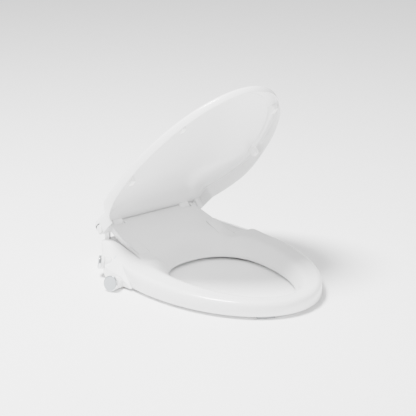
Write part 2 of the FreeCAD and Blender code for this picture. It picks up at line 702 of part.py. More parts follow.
flange_back = size("nozzle_length") - 2
for label, x in (("rear", -side_step), ("front", side_step)):
    frame = nozzle_frame(x)
    turned("nozzle_" + label, [
        ("0", "-8"), ("sizes.nozzle_radius", "-8"),
        ("sizes.nozzle_radius", "-sizes.nozzle_length + 4"),
        ("sizes.flange_radius", "-sizes.nozzle_length + 4"),
        ("sizes.flange_radius", "-sizes.nozzle_length"), ("0", "-sizes.nozzle_length")], frame)
    turned(f"nozzle_{label}_tip", [
        ("0", "-8"), ("sizes.nozzle_radius", "-8"), ("sizes.nozzle_radius", "-2"),
        ("sizes.nozzle_radius - 2", "0"), ("0", "0")], frame)
    coil_length = size("nozzle_length") - 4 - guide_back - 1
    wire_r = size("spring_wire")
    helix = Part.makeHelix(coil_length / 6.3, coil_length - 2 * wire_r, nozzle_r + 1.1)
    section = Part.Wire(Part.Circle(Vector(nozzle_r + 1.1, 0, 0), Vector(0, 1, 0), wire_r).toShape())
    coil = Part.Wire(helix.Edges).makePipeShell([section], True, True)
    coil.Placement = frame.multiply(at(0, 0, -(size("nozzle_length") - 4) + wire_r + 0.2))
    feature(f"nozzle_{label}_spring", Part.Solid(Part.Shell(coil.Faces)) if not coil.Solids
            else coil.Solids[0])

# ---- knobs, spindles and valves --------------------------------------------------------

for name, (frame, reach, _, _) in KNOBS.items():
    radius = f"sizes.{name}_knob_radius"
    turned(f"{name}_knob", [
        ("sizes.spindle_radius", "-sizes.knob_depth"), (radius + " - 2.2", "-sizes.knob_depth"),
        (radius + " - 1", "-sizes.knob_depth + 1.5"), (radius + " - 1", "-6"),
        ("sizes.spindle_radius", "-6")], frame)
    turned(f"{name}_knob_ring", [
        (radius + " - 1.8", "-6"), (radius, "-6"), (radius, "-1.2"), (radius + " - 0.6", "-0.6"),
        (radius + " - 1.8", "-0.6")], frame)
    turned(f"{name}_knob_cap", [
        ("0", "-6"), (radius + " - 1.8", "-6"), (radius + " - 1.8", "-0.5"),
        (radius + " - 2.3", "0"), ("0", "0")], frame)
    valve_start = depth + boss_gap + reach
    spindle_length = valve_start + size("valve_length") - 2 - 6
    place = frame.multiply(at(0, 0, -6 - spindle_length))
    keep(f"{name}_spindle", bar(f"{name}_spindle", "sizes.spindle_radius",
                                f"{spindle_length}", place))
    place = frame.multiply(at(0, 0, -valve_start - size("valve_length")))
    outer = bar(f"{name}_valve_outer", "sizes.valve_radius", "sizes.valve_length", place)
    bore_place = frame.multiply(at(0, 0, -valve_start - size("valve_length") + 1.5))
    inner = bar(f"{name}_valve_bore", "sizes.spindle_radius + sizes.running_fit", "40", bore_place)
    valve_name = {"front": "flow_valve", "rear": "selector_valve"}[name]
    keep(valve_name, cut(valve_name, outer, inner))

# ---- water inlet ------------------------------------------------------------------------

turned("inlet_fitting", [
    ("3", f"-{stub_length}"), (f"{stub_radius}", f"-{stub_length}"), (f"{stub_radius}", "0"),
    ("sizes.inlet_radius + 3", "0"), ("sizes.inlet_radius + 3", "4"),
    ("sizes.inlet_radius", "4"), ("sizes.inlet_radius", "18"), ("sizes.inlet_bore", "18"),
    ("sizes.inlet_bore", "2"), ("3", "2")], inlet_frame)

# ---- checks and files ------------------------------------------------------------------

doc.recompute()
for thing in doc.Objects:
    if "Invalid" in thing.State or "Error" in thing.State:
        raise RuntimeError(f"{thing.Name} failed to recompute: {thing.State}")
os.makedirs("parts", exist_ok=True)
for label, thing in subparts.items():
    shape = thing.Shape
    if shape.isNull() or not shape.isValid() or not shape.Solids:
        raise RuntimeError(f"{label} has no valid solid")
    shape.exportStep(f"parts/{label}.step")
    print(f"{label:28s} {len(shape.Solids):2d} solids {shape.Volume / 1000:9.2f} cm3")
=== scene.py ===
import json
import math
import bmesh
import bpy
from mathutils import Matrix, Vector


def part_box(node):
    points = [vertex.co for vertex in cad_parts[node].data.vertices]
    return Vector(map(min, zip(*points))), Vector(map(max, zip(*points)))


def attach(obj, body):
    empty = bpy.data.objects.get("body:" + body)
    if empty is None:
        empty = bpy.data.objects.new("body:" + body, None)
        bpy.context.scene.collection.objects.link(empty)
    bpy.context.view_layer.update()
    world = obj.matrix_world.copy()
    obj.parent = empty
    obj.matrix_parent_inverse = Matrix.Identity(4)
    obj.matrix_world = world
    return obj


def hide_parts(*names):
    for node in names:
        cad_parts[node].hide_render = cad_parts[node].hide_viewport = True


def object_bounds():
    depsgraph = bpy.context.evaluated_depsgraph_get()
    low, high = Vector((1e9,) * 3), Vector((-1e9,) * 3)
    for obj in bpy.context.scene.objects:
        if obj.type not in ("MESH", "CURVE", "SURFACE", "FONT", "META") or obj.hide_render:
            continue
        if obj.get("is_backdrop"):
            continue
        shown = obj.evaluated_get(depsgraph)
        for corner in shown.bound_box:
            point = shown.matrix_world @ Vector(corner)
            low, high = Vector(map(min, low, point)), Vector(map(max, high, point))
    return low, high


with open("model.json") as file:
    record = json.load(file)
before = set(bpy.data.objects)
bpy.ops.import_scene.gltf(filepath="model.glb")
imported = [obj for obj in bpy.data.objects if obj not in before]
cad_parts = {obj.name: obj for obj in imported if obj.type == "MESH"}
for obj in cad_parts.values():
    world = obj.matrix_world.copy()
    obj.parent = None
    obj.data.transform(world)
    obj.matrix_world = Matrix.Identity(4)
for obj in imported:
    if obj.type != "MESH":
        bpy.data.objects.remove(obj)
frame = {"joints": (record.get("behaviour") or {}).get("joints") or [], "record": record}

cad_low, cad_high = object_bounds()
MM = 0.001

# ---- sizes, from the frame ------------------------------------------------------------

seat_low, seat_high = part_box("seat_shell")
pin_low, pin_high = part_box("hinge_pin_left")
HINGE = (pin_low + pin_high) / 2
HINGE.x = 0

# the ring: its egg is two half ellipses that meet where it is widest
HALF = seat_high.x
FOOT = seat_low.z
WIDEST = -166.5 * MM
NOSE = WIDEST - seat_low.y
TAIL = 190 * MM
NOSE_TOP = 35 * MM

# the tongue: it ramps from the shoulder to a crest that is round about the hinge
BARREL = seat_high.z - HINGE.z
SHOULDER = Vector((0, -106 * MM, 42 * MM))
SLANT = 0.693
TONGUE_HALF = 127 * MM
TAIL_HALF = 113 * MM
TONGUE_DEEP = 15 * MM
RAMP = (seat_high.z - SHOULDER.z) / (HINGE.y - SHOULDER.y)

# the opening, and the height of its lip
MIDDLE = -220 * MM
OPENING_HALF = HALF - 80 * MM
OPENING_NOSE = MIDDLE - seat_low.y - 45.5 * MM
OPENING_TAIL = 112 * MM
LIP = 13 * MM

# roundings of the seat's top edge, and how far back the full one takes to shrink
RING_ROUND = 12 * MM
TONGUE_ROUND = 3 * MM
SHOULDER_ROUND = 1.2 * MM
SHRINK_RUN = 40 * MM

# the widest band over which the ring dips to its lip, and its share of a narrower band
DIP_RUN = 52 * MM
DIP_SHARE = 0.62


# ---- materials ------------------------------------------------------------------------

# a colour mix has sockets of other kinds under the same names, so these go by number
MIX_LOW, MIX_HIGH, MIX_RESULT = 6, 7, 2
BROAD_SCALE = 14.0
RELIEF_STRENGTH = 0.25
DARKER = 0.985


def colour(code):
    """An sRGB hex value as linear red, green, blue and alpha."""
    parts = [int(code[i:i + 2], 16) / 255 for i in (0, 2, 4)]
    return [p / 12.92 if p <= 0.04045 else ((p + 0.055) / 1.055) ** 2.4 for p in parts] + [1]


def add(tree, kind, settings=(), links=()):
    """Adds a node, sets its sockets and properties and links into it."""
    made = tree.nodes.new(kind)
    for key, value in dict(settings).items():
        if hasattr(made, key) and not key[0].isupper():
            setattr(made, key, value)
        else:
            made.inputs[key].default_value = value
    for key, source in dict(links).items():
        tree.links.new(source, made.inputs[key])
    return made


def moulded(name, code, rough, grain_mm, depth, coat=0.0, spread=0.04, metal=0.0, ior=1.5):
    """A surface with faint unevenness of sheen and relief at a real grain size."""
    made = bpy.data.materials.new(name)
    made.use_nodes = True
    tree = made.node_tree
    tree.nodes.clear()
    spot = add(tree, "ShaderNodeTexCoord")
    grain = add(tree, "ShaderNodeTexNoise", {"Scale": 1 / (grain_mm * MM), "Detail": 3.0},
                {"Vector": spot.outputs["Object"]})
    broad = add(tree, "ShaderNodeTexNoise", {"Scale": BROAD_SCALE, "Detail": 2.0},
                {"Vector": spot.outputs["Object"]})
    sheen = add(tree, "ShaderNodeMapRange", {"To Min": rough - spread, "To Max": rough + spread},
                {"Value": broad.outputs["Fac"]})
    relief = add(tree, "ShaderNodeBump", {"Strength": RELIEF_STRENGTH, "Distance": depth * MM},
                 {"Height": grain.outputs["Fac"]})
    base = colour(code)
    tone = add(tree, "ShaderNodeMix", {"data_type": "RGBA"}, {"Factor": broad.outputs["Fac"]})
    tone.inputs[MIX_LOW].default_value = [c * DARKER for c in base[:3]] + [1]
    tone.inputs[MIX_HIGH].default_value = base
    shader = add(tree, "ShaderNodeBsdfPrincipled",
                 {"Metallic": metal, "IOR": ior, "Coat Weight": coat},
                 {"Base Color": tone.outputs[MIX_RESULT], "Roughness": sheen.outputs["Result"],
                  "Normal": relief.outputs["Normal"]})
    add(tree, "ShaderNodeOutputMaterial", (), {"Surface": shader.outputs["BSDF"]})
    return made


# gloss moulded ABS: bright white, with soft highlights that wander a little
gloss_abs = moulded("gloss_white_abs", "EFEFEF", 0.24, 1.2, 0.01, 0.15, ior=1.53)
# satin moulded polypropylene: the same white with a dull, faintly grained surface
satin_pp = moulded("satin_white_polypropylene", "F4F4F4", 0.42, 0.8, 0.02)
# satin ABS knob face: light cool grey with a fine spark-eroded grain
grey_abs = moulded("satin_grey_abs", "A9AEB2", 0.42, 0.5, 0.02, ior=1.53)
# bright chrome plating on the knobs' rings: mirror-like with slight wear of sheen
chrome = moulded("chrome_plating", "D8DADC", 0.12, 1.0, 0.002, spread=0.03, metal=1.0)
# machined brass of the inlet
brass = moulded("machined_brass", "C9A659", 0.28, 0.6, 0.01, spread=0.06, metal=1.0)
# drawn stainless spring wire and plated screws
steel = moulded("stainless_steel", "BFC1C2", 0.26, 0.6, 0.006, spread=0.05, metal=1.0)
# dark glass-filled nylon of cartridges, plate and valves
dark_nylon = moulded("dark_nylon", "3A3C3F", 0.5, 0.7, 0.03)
# moulded white silicone bumpers: matt and slightly milky
white_silicone = moulded("white_silicone", "FCFCFB", 0.55, 0.9, 0.02, ior=1.42)
# natural white acetal of the hinge lugs: a touch brighter than the moulding round it
lug_acetal = moulded("white_acetal", "FDFDFD", 0.3, 0.8, 0.01, ior=1.48)
# grey rubber feet: matt
grey_rubber = moulded("grey_rubber", "9A9C9E", 0.7, 0.8, 0.04)
# translucent polyethylene water tube
milky_tube = moulded("milky_polyethylene", "DCE3E6", 0.35, 0.8, 0.01, ior=1.51)

FINISH = {
    "white_gloss_plastic": gloss_abs, "white_satin_plastic": satin_pp,
    "grey_satin_plastic": grey_abs, "chrome_trim": chrome, "brass": brass,
    "stainless_steel": steel, "dark_plastic": dark_nylon, "white_rubber": white_silicone,
    "grey_rubber": grey_rubber, "clear_tube": milky_tube,
}
for part in frame["record"]["subparts"]:
    shown = bpy.data.objects.get(part["node"])
    if shown is not None and shown.type == "MESH":
        shown.data.materials.clear()
        shown.data.materials.append(FINISH[part["material_slot"]])


# ---- mesh helpers ---------------------------------------------------------------------

def finish(name, bm, body, material, nodes, sharp=32):
    """Turns a bmesh into a piece that rides on its body and stands for its CAD nodes."""
    bmesh.ops.recalc_face_normals(bm, faces=bm.faces)
    mesh = bpy.data.meshes.new(name)
    bm.to_mesh(mesh)
    bm.free()
    mesh.polygons.foreach_set("use_smooth", [True] * len(mesh.polygons))
    mesh.set_sharp_from_angle(angle=math.radians(sharp))
    mesh.materials.append(material)
    made = bpy.data.objects.new(name, mesh)
    bpy.context.scene.collection.objects.link(made)
    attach(made, body)
    if nodes:
        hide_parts(*nodes)
    return made


def skin(bm, count, loops, capped=False):
    """Extrudes a closed ring of vertices through the loops. A loop gives each station's place."""
    station = bm.verts.layers.int.get("station") or bm.verts.layers.int.new("station")
    verts = bmesh.ops.create_circle(bm, segments=count, radius=1)["verts"]
    for index, vert in enumerate(verts):
        vert[station] = index
    first = edges = list({e for v in verts for e in v.link_edges})
    for vert in verts:
        vert.co = loops[0](vert[station])
    first_verts = verts
    for loop in loops[1:]:
        grown = bmesh.ops.extrude_edge_only(bm, edges=edges)["geom"]
        verts = [g for g in grown if isinstance(g, bmesh.types.BMVert)]
        edges = [g for g in grown if isinstance(g, bmesh.types.BMEdge)
                 and g.verts[0] in set(verts) and g.verts[1] in set(verts)]
        for vert in verts:
            vert.co = loop(vert[station])
    if capped:
        bmesh.ops.pointmerge(bm, verts=first_verts, merge_co=sum(
            (v.co for v in first_verts), Vector()) / count)
        bmesh.ops.pointmerge(bm, verts=verts, merge_co=sum((v.co for v in verts), Vector()) / count)
    else:
        bmesh.ops.bridge_loops(bm, edges=first + edges)


def rounded_block(bm, low, high, bevel, place=Matrix.Identity(4), segments=3):
    """A box with rounded edges, between two corners."""
    verts = bmesh.ops.create_cube(bm, size=1)["verts"]
    low, high = Vector(low), Vector(high)
    for vert in verts:
        vert.co = (low + high) / 2 + Vector(a * b for a, b in zip(vert.co, high - low))
    edges = list({e for v in verts for e in v.link_edges})
    made = bmesh.ops.bevel(bm, geom=edges, offset=bevel, segments=segments, affect="EDGES",
                           profile=0.5, material=-1, clamp_overlap=True)
    bmesh.ops.transform(bm, matrix=place, verts=list({v for f in made["faces"] for v in f.verts}
                                                     | {v for v in verts if v.is_valid}))


def turning(bm, profile, place, steps=64):
    """A turned form about +Z of a place, from radius and height pairs."""
    verts = [bm.verts.new((radius, 0, height)) for radius, height in profile]
    edges = [bm.edges.new(pair) for pair in zip(verts, verts[1:])]
    bmesh.ops.spin(bm, geom=verts + edges, cent=(0, 0, 0), axis=(0, 0, 1),
                   angle=2 * math.pi, steps=steps, use_merge=True)
    new = {v for v in bm.verts if v.is_valid} - turning.done.get(id(bm), set())
    bmesh.ops.remove_doubles(bm, verts=list(new), dist=1e-6)
    new = {v for v in bm.verts if v.is_valid} - turning.done.get(id(bm), set())
    bmesh.ops.transform(bm, matrix=place, verts=list(new))
    turning.done[id(bm)] = set(bm.verts)


# the vertices that each bmesh had when its last turned form was placed
turning.done = {}


def arc(corner, start, end, radius, steps):
    """Points of a fillet at a corner between two straight runs, all in plan."""
    a, b = (start - corner).normalized(), (end - corner).normalized()
    half = a.angle(b) / 2
    reach = min(radius / math.tan(half), 0.48 * (start - corner).length,
                0.48 * (end - corner).length)
    radius = reach * math.tan(half)
    centre = corner + (a + b).normalized() * radius / math.sin(half)
    first, last = corner + a * reach - centre, corner + b * reach - centre
    turn = first.xy.angle_signed(last.xy)
    return [centre + Matrix.Rotation(-turn * i / steps, 3, "Z") @ first for i in range(steps + 1)]


LONGEST_STEP = 9 * MM


def outline(points, steps=6):
    """A closed plan outline from corners with fillet radii, mirrored over X from its right half."""
    half = []
    for i, (point, radius) in enumerate(points):
        if radius and 0 < i < len(points) - 1:
            half += arc(point, points[i - 1][0], points[i + 1][0], radius, steps)
        else:
            half.append(point)
    dense = []
    for a, b in zip(half, half[1:]):
        count = max(1, math.ceil((b - a).length / LONGEST_STEP))
        dense += [a.lerp(b, k / count) for k in range(count)]
    dense.append(half[-1])
    left = [Vector((-p.x, p.y, 0)) for p in dense[-2:0:-1]]
    return dense + left


def ease(t):
    """A quick start that levels off, from 0 to 1."""
    return math.sin(min(max(t, 0), 1) * math.pi / 2)


def smooth(t):
    """A level start and a level end, from 0 to 1."""
    t = min(max(t, 0), 1)
    return t * t * (3 - 2 * t)


# ---- seat -----------------------------------------------------------------------------

def ring_edge(turn):
    """A point of the ring's egg-shaped edge. Turn runs from -90 at the nose."""
    a = math.radians(turn)
    return Vector((HALF * math.cos(a), WIDEST + (TAIL if a > 0 else NOSE) * math.sin(a), 0))


def lip_reach(way):
    """How far the opening's lip is from its middle, along a way."""
    deep, power = (OPENING_TAIL, 2.3) if way.y > 0 else (OPENING_NOSE, 2.0)
    return (abs(way.x / OPENING_HALF) ** power + abs(way.y / deep) ** power) ** (-1 / power)


def crown(y):
    """Height of the seat's top: a gentle fall to the nose, a ramp to the crest."""
    if y < SHOULDER.y:
        fall = (SHOULDER.z - NOSE_TOP) / (SHOULDER.y - seat_low.y)
        return SHOULDER.z - fall * (SHOULDER.y - y)
    return min(SHOULDER.z + RAMP * (y - SHOULDER.y), seat_high.z)


end_turn = math.degrees(math.asin((SHOULDER.y - WIDEST) / TAIL))
SIDE_RUN = [(ring_edge(t), 0) for t in [-90 + 2.5 * k for k in range(int((90 + end_turn) / 2.5))]]
SEAT_EDGE = outline(SIDE_RUN + [
    (ring_edge(end_turn), 9 * MM), (Vector((TONGUE_HALF, SHOULDER.y, 0)), 4 * MM),
    (Vector((TAIL_HALF, HINGE.y + BARREL, 0)), 3 * MM), (Vector((0, HINGE.y + BARREL, 0)), 0)])
SEAT_COUNT = len(SEAT_EDGE)
centre = Vector((0, MIDDLE, 0))


def tongue_here(point):
    """Whether an edge point belongs to the tongue and not to the ring."""
    return abs(point.x) < TONGUE_HALF + 0.4 * MM and point.y > SHOULDER.y + 0.4 * MM


def under(point, tongue):
    """Height of the seat's underside: flat, slanted at the shoulder, raised under the tongue."""
    if tongue:
        return crown(max(point.y, SHOULDER.y)) - TONGUE_DEEP
    return max(FOOT, SHOULDER.z - SLANT * (SHOULDER.y - point.y) - 3 * MM)


def seat_point(index, share=0.0, inward=0.0, lip=0.0):
    """A plan point of a station, measured in from its edge or out from the opening's lip."""
    edge = SEAT_EDGE[index]
    way = (edge - centre).normalized()
    reach = (edge - centre).length
    start = lip_reach(way)
    if lip:
        return centre + way * (start + lip)
    return centre + way * (start + (reach - inward - start) * (1 - share))


def edge_radius(index):
    """The rounding of the top edge: full on the ring, tight on the tongue, the barrel's at the crest."""
    edge = SEAT_EDGE[index]
    if edge.y > HINGE.y:
        return BARREL
    if tongue_here(edge):
        return TONGUE_ROUND
    away = (SHOULDER.y - edge.y) / SHRINK_RUN
    return SHOULDER_ROUND + (RING_ROUND - SHOULDER_ROUND) * smooth(away)


def band(index):
    """The seat's width at a station, from the opening's lip to the edge."""
    edge = SEAT_EDGE[index]
    way = edge - centre
    return way.length - lip_reach(way.normalized())


def top_loop(share):
    """The top, from the lip at 1 to the start of the edge's rounding at 0."""
    def place(index):
        radius = edge_radius(index)
        width = band(index) - radius
        point = seat_point(index, share, radius)
        dip = min(DIP_RUN, DIP_SHARE * width)
        out = width * (1 - share)
        high = crown(point.y)
        fall = (high - LIP) * (1 - ease(out / dip)) ** 1.25
        return Vector((point.x, point.y, high - fall))
    return place


def round_loop(turn):
    """The rounding of the edge, from the top at 0 to the side at 90."""
    def place(index):
        radius = edge_radius(index)
        a = math.radians(turn)
        point = seat_point(index, 0, radius * (1 - math.sin(a)))
        return Vector((point.x, point.y,
                       crown(seat_point(index, 0, radius).y) - radius * (1 - math.cos(a))))
    return place


def side_foot(index):
    """Height of the side's foot: the underside's, or the barrel's at the crest."""
    edge = SEAT_EDGE[index]
    low = under(edge, tongue_here(edge))
    top = crown(seat_point(index, 0, edge_radius(index)).y) - edge_radius(index)
    if edge.y > HINGE.y:
        low = HINGE.z - BARREL
    return min(low, top - 0.5 * MM)


def foot_loop(inward, lift):
    """The side's foot, and its turn under the seat."""
    def place(index):
        point = seat_point(index, 0, inward)
        low = side_foot(index) if inward < 1 * MM else under(point, tongue_here(SEAT_EDGE[index]))
        return Vector((point.x, point.y, low + lift))
    return place


def below_loop(share, lift):
    """The hidden underside, with room for the bottom cover in the ring."""
    def place(index):
        point = seat_point(index, share, 3.2 * MM)
        tongue = tongue_here(SEAT_EDGE[index])
        return Vector((point.x, point.y, under(point, tongue) + (0 if tongue else lift)))
    return place


def lip_loop(out, height):
    """A loop at the opening's lip or a little out from it, at one height."""
    def place(index):
        point = seat_point(index, lip=out) if out else seat_point(index, 1.0)
        return Vector((point.x, point.y, height))
    return place


# shares of the band for the top's loops, close together at the lip and even beyond the dip
DIP_LOOPS, FLAT_LOOPS, FLAT_FROM = 14, 6, 0.38
steps = ([1 - (k / DIP_LOOPS) ** 1.6 * (1 - FLAT_FROM) for k in range(DIP_LOOPS)]
         + [FLAT_FROM - FLAT_FROM * k / FLAT_LOOPS for k in range(FLAT_LOOPS + 1)])
seat = bmesh.new()
skin(seat, SEAT_COUNT,
     [lip_loop(0, FOOT + 0.8 * MM), lip_loop(0, LIP - 1 * MM)]
     + [top_loop(s) for s in steps]
     + [round_loop(t) for t in (15, 30, 45, 60, 75, 90)]
     + [foot_loop(0, 1 * MM), foot_loop(0.8 * MM, 0), below_loop(0, 0), below_loop(0, 4 * MM),
        below_loop(0.5, 4 * MM), lip_loop(3.4 * MM, FOOT + 4 * MM), lip_loop(3.2 * MM, FOOT),
        lip_loop(0.8 * MM, FOOT)])

SEAT_SHARP = 40
made_seat = finish("seat_ring", seat, "seat", gloss_abs, ["seat_shell"],
                   SEAT_SHARP)

# the pads: flat blocks sunk in the ramp and tilted a little more than it
PAD_BACK, PAD_FRONT = -47 * MM, -92 * MM
PAD_SIDE = 107.5 * MM
PAD_HALF = 13.5 * MM
PAD_SUNK, PAD_PROUD = 2.5 * MM, 1.5 * MM
PAD_GAP = 1.1 * MM
PAD_TILT = 3 * MM
PAD_LENGTH = (PAD_BACK - PAD_FRONT) / math.cos(math.atan(RAMP))
PAD_PLACES = [
    Matrix.Translation((side * PAD_SIDE, (PAD_BACK + PAD_FRONT) / 2,
                        crown((PAD_BACK + PAD_FRONT) / 2)))
    @ Matrix.Rotation(math.atan(RAMP) + math.atan(PAD_TILT / PAD_LENGTH), 4, "X")
    for side in (-1, 1)]

# the notches in the crest that the lid's lugs turn in, and the pads' recesses
NOTCH_FRONT, NOTCH_REACH = 13 * MM, 20 * MM
lug_low, lug_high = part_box("lid_damper_left")
cutter = bmesh.new()
for side in (-1, 1):
    across = sorted((side * (lug_low.x - 0.8 * MM), side * (lug_high.x + 3.5 * MM)))
    rounded_block(cutter, (across[0], HINGE.y - NOTCH_FRONT, HINGE.z - NOTCH_REACH),
                  (across[1], HINGE.y + NOTCH_REACH, HINGE.z + NOTCH_REACH), 0.4 * MM)
for place in PAD_PLACES:
    rounded_block(cutter, (-PAD_HALF - PAD_GAP, -PAD_LENGTH / 2 - 0.2 * MM, -PAD_SUNK),
                  (PAD_HALF + PAD_GAP, PAD_LENGTH / 2 + PAD_GAP, 8 * MM), 0.3 * MM, place)
notch_mesh = bpy.data.meshes.new("notch_cutter")
cutter.to_mesh(notch_mesh)
cutter.free()
notch = bpy.data.objects.new("notch_cutter", notch_mesh)
bpy.context.scene.collection.objects.link(notch)
carve = made_seat.modifiers.new("notches", "BOOLEAN")
carve.operation, carve.solver, carve.object = "DIFFERENCE", "EXACT", notch
bpy.context.view_layer.update()
carved = bpy.data.meshes.new_from_object(made_seat.evaluated_get(
    bpy.context.evaluated_depsgraph_get()))
made_seat.modifiers.clear()
made_seat.data = carved
bpy.data.objects.remove(notch)
carved.set_sharp_from_angle(angle=math.radians(SEAT_SHARP))

# the raised pads beside the hinge, each in its own shallow recess
pads = bmesh.new()
for place in PAD_PLACES:
    rounded_block(pads, (-PAD_HALF, -PAD_LENGTH / 2, -PAD_SUNK),
                  (PAD_HALF, PAD_LENGTH / 2, PAD_PROUD), 0.5 * MM, place)
finish("seat_pads", pads, "seat", gloss_abs, [])

# ---- lid, shaped closed and level about its hinge, then swung open ------------------------

OPEN = math.radians(48.9)
LID_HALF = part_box("lid_shell")[1].x
LID_WIDEST = -178.5 * MM
LID_NOSE = 299 * MM
LID_TAIL = 192 * MM
EAR_HALF = 137 * MM

# the lid's roof and rim from nose to back: place along the lid and height, in millimetres
ROOF = [(-477.5, -6.3), (-330, -4.2), (-180, -1), (-60, 13), (-10, 22), (8, 22), (15, 22)]
RIM = [(-477.5, -23.3), (-130, -23.3), (-30, -15), (-10, -12), (8, -10), (15, -2)]
LID_WALL = 3 * MM
HINGE_CLEAR = 9.1 * MM
SKIRT_ROUND = 6.5 * MM
STEP_INSET = 28 * MM
LID_SHARP = 38
lid_place = Matrix.Translation(HINGE) @ Matrix.Rotation(-OPEN, 4, "X")


def along(line, y):
    """Height on a run of points, with its bends softened."""
    def plain(at):
        at = at / MM
        for (y0, z0), (y1, z1) in zip(line, line[1:]):
            if at <= y1:
                return (z0 + (z1 - z0) * max(0, at - y0) / (y1 - y0)) * MM
        return line[-1][1] * MM
    reach = min(18 * MM, max(0.0, 8 * MM - y) * 0.8)
    return sum(plain(y + reach * k / 4) for k in range(-4, 5)) / 9


def lid_edge(turn):
    """A point of the lid's edge. Turn runs from -90 at the nose."""
    a = math.radians(turn)
    return Vector((LID_HALF * math.cos(a), LID_WIDEST + (LID_TAIL if a > 0 else LID_NOSE)
                   * math.sin(a), 0))


meet = math.degrees(math.acos(EAR_HALF / LID_HALF))
LID_EDGE = outline([(lid_edge(-90 + 2.5 * k), 0) for k in range(int((90 + meet) / 2.5) + 1)]
                   + [(Vector((EAR_HALF, LID_WIDEST + LID_TAIL * math.sin(math.radians(meet)), 0)),
                       18 * MM), (Vector((EAR_HALF, 15 * MM, 0)), 5 * MM),
                      (Vector((0, 15 * MM, 0)), 0)])
lid_centre = Vector((0, LID_WIDEST, 0))


def lid_point(index, inward, share=0.0):
    """A plan point of a station, set in from the lid's edge and then by a share of the way."""
    edge = LID_EDGE[index]
    way = (edge - lid_centre)
    reach = (way.length - inward) * (1 - share)
    return lid_centre + way.normalized() * reach


def over_hinge(y):
    """0 in the open lid and 1 over the hinge, where the lid is thick."""
    return smooth((y + 75 * MM) / (55 * MM))


def lid_loop(inward, share, line, drop):
    """A loop set in from the lid's edge, at a height below the roof or above the rim."""
    def place(index):
        point = lid_point(index, inward, share)
        high = along(line, point.y) - drop
        if line is RIM and LID_EDGE[index].y > 14.5 * MM:
            high = max(high, 1.5 * MM - drop)
        return Vector((point.x, point.y, high))
    return place


def ceiling_loop(inward, share, step=0.0):
    """A loop of the lid's inner ceiling, with its moulded step, level over the hinge."""
    def place(index):
        point = lid_point(index, inward, share)
        plain = along(ROOF, point.y) - LID_WALL - step
        near = over_hinge(point.y)
        return Vector((point.x, point.y, plain * (1 - near) + HINGE_CLEAR * near))
    return place


def lid_round(turn, radius):
    """The rounding between skirt and roof, from the roof at 0 to the skirt at 90."""
    def place(index):
        a = math.radians(turn)
        size = radius + 3 * MM * smooth((LID_EDGE[index].y + 60 * MM) / (60 * MM))
        point = lid_point(index, size * (1 - math.sin(a)))
        return Vector((point.x, point.y, along(ROOF, lid_point(index, size).y)
                       - size * (1 - math.cos(a))))
    return place


inside = [ceiling_loop(STEP_INSET, s) for s in
          (0.98, 0.85, 0.7, 0.55, 0.42, 0.3, 0.2, 0.12, 0.05, 0.0)]
ridge = [ceiling_loop(o * MM, 0, d * MM) for o, d in
         ((26, 0.3), (24.5, 1.4), (22.5, 2.6), (20, 3.1), (16, 3.2), (12, 2.8), (9, 1.9),
          (7, 1.3), (5.2, 1.6), (3.8, 2.8), (3.1, 4.6), (3, 6.5))]
rim = [lid_loop(o * MM, 0, RIM, -h * MM) for o, h in
       ((3, 1.2), (2.7, 0.4), (2.1, 0), (1.0, 0), (0.4, 0.3), (0, 1.2))]
roof = [lid_round(t, SKIRT_ROUND) for t in (90, 75, 60, 45, 30, 15, 0)]
outside = [lid_loop(12 * MM, s, ROOF, 0) for s in
           (0.0, 0.05, 0.12, 0.2, 0.3, 0.42, 0.55, 0.7, 0.85, 0.98)]
lid = bmesh.new()
skin(lid, len(LID_EDGE), inside + ridge + rim + roof + outside, capped=True)


def hanger(bm, x0, x1, radius, top, bevel):
    """A rounded lobe round the hinge pin, reaching up into the lid's roof."""
    verts = bmesh.ops.create_circle(bm, segments=48, radius=radius, cap_ends=True)["verts"]
    turned = Matrix(((0, 0, 1, 0), (1, 0, 0, 0), (0, 1, 0, 0), (0, 0, 0, 1)))
    bmesh.ops.transform(bm, matrix=Matrix.Translation((x0, 0, 0)) @ turned, verts=verts)
    for vert in verts:
        if vert.co.z > 0:
            vert.co.y = max(-radius, min(radius, vert.co.y * 1.7))
            vert.co.z *= top / radius
    face = next(f for f in verts[0].link_faces if set(f.verts) == set(verts))
    grown = bmesh.ops.extrude_face_region(bm, geom=[face])["geom"]
    far = [g for g in grown if isinstance(g, bmesh.types.BMVert)]
    bmesh.ops.translate(bm, vec=(x1 - x0, 0, 0), verts=far)
    faces = {f for v in far for f in v.link_faces} | {face}
    rims = [e for e in {e for f in faces for e in f.edges}
            if len({round(v.co.x, 5) for v in e.verts}) == 1]
    bmesh.ops.bevel(bm, geom=rims, offset=bevel, segments=3, affect="EDGES", profile=0.5,
                    material=-1, clamp_overlap=True)


EAR_INNER = 120.5 * MM
LUG_INNER, LUG_OUTER = 78 * MM, 102 * MM
lugs = bmesh.new()
for side in (-1, 1):
    hanger(lid, side * EAR_INNER, side * EAR_HALF, 12 * MM, 19 * MM, 1.6 * MM)
    hanger(lugs, side * LUG_INNER, side * LUG_OUTER, 8 * MM, 15 * MM, 0.9 * MM)
bmesh.ops.transform(lid, matrix=lid_place, verts=lid.verts)
bmesh.ops.transform(lugs, matrix=lid_place, verts=lugs.verts)
finish("lid_lugs", lugs, "lid", lug_acetal, [], LID_SHARP)
finish("lid_panel", lid, "lid", gloss_abs, ["lid_shell"], LID_SHARP)

